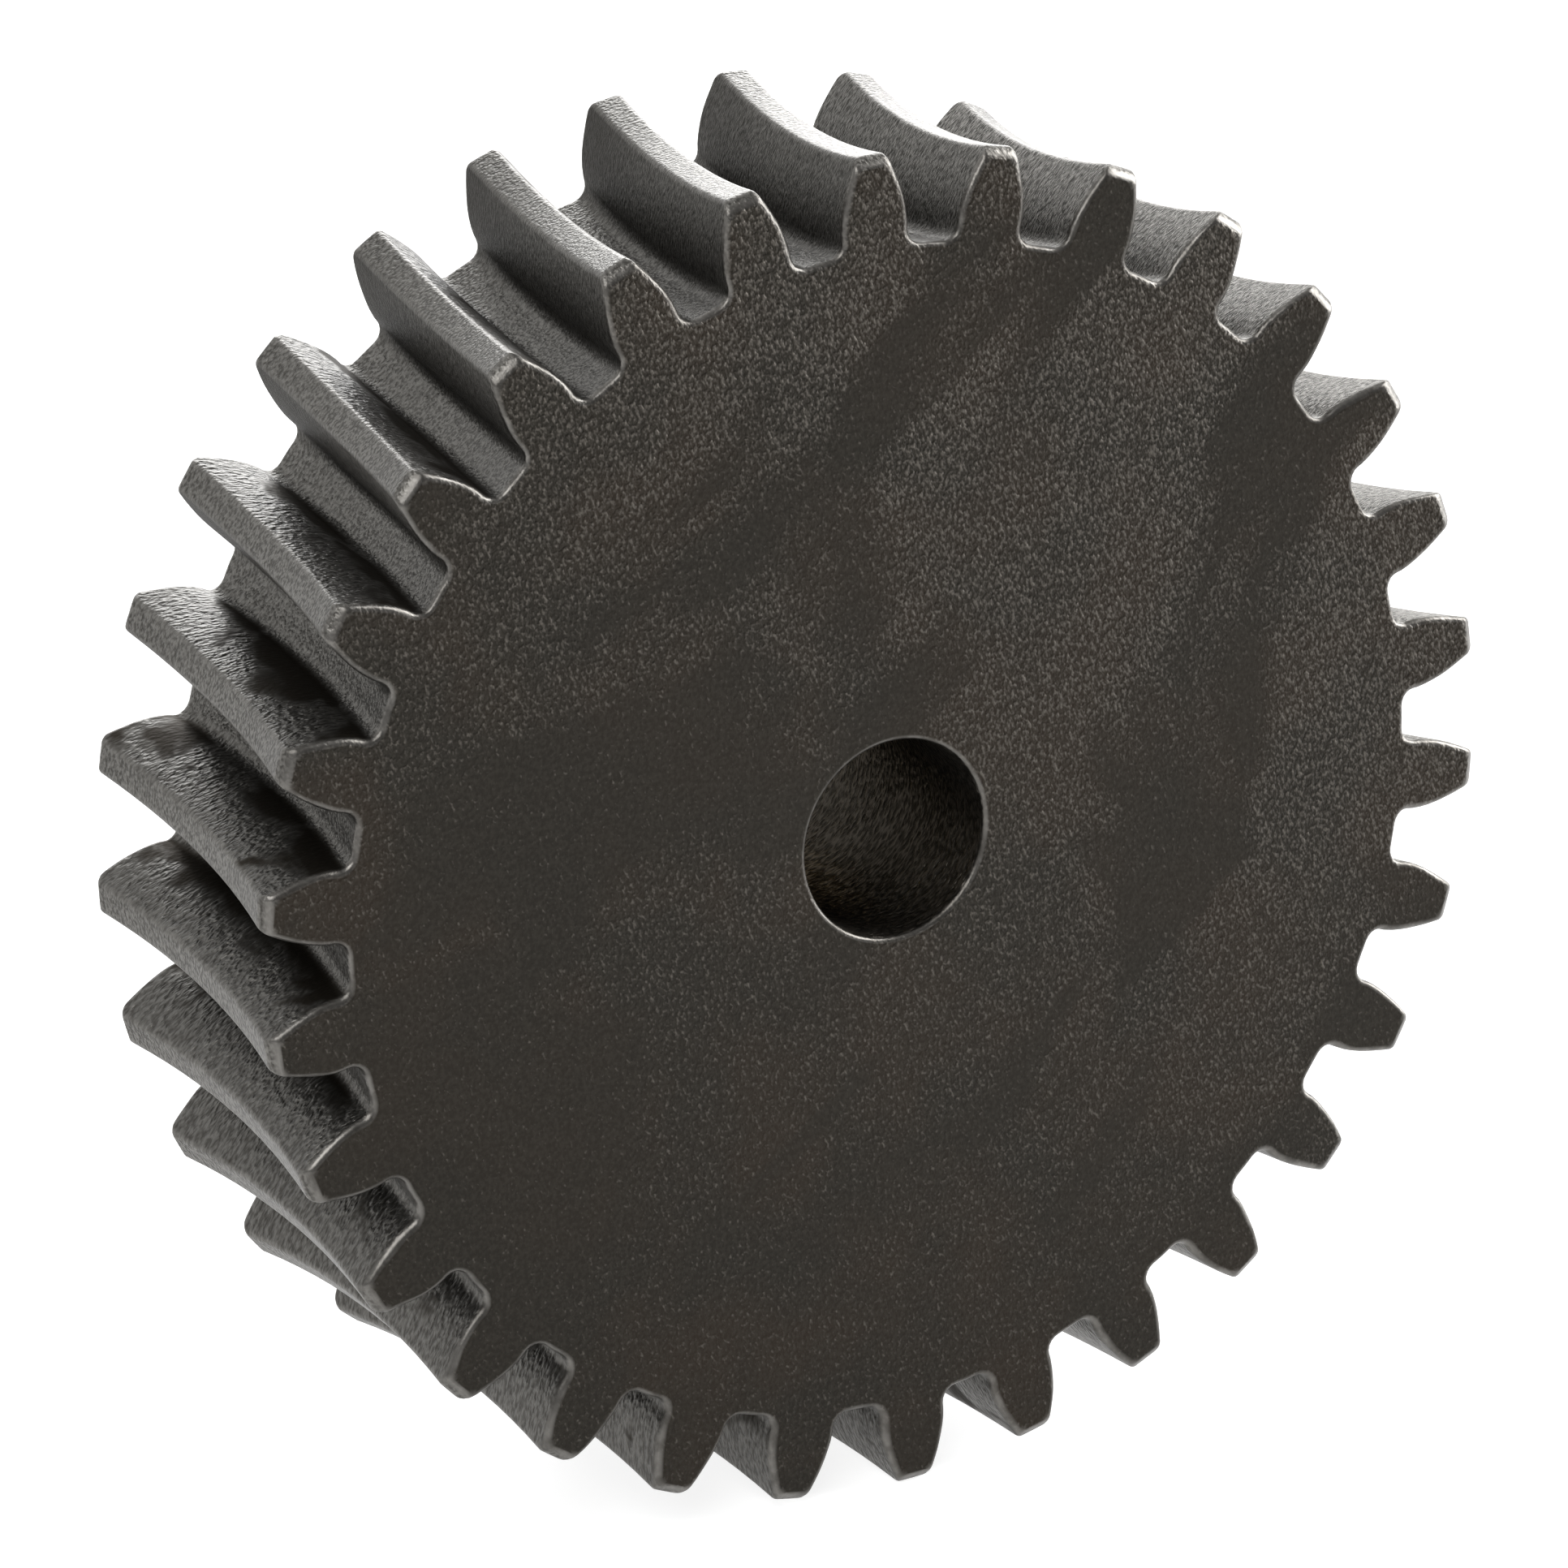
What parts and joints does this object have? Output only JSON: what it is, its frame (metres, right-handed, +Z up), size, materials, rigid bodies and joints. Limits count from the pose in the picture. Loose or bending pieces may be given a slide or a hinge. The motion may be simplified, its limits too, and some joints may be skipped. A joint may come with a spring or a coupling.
{
  "type": "worm wheel",
  "caption": "Round worm wheel with right-hand helical teeth around a hollowed rim, two flat faces and a plain round bore.",
  "frame": {"origin": "centre of the bore, half way between the two flat faces", "axes": "+Y along the bore, from the front face to the back face; +Z up through the middle of one tooth; +X to the right seen from the front"},
  "size_m": [0.082, 0.022, 0.082],
  "materials": {
    "wheel_metal": "dark as-cast metal with a fine orange-peel grain, slightly brighter worn edges"
  },
  "bodies": {
    "root": {"worm_wheel": "wheel_metal"}
  },
  "joints": []
}
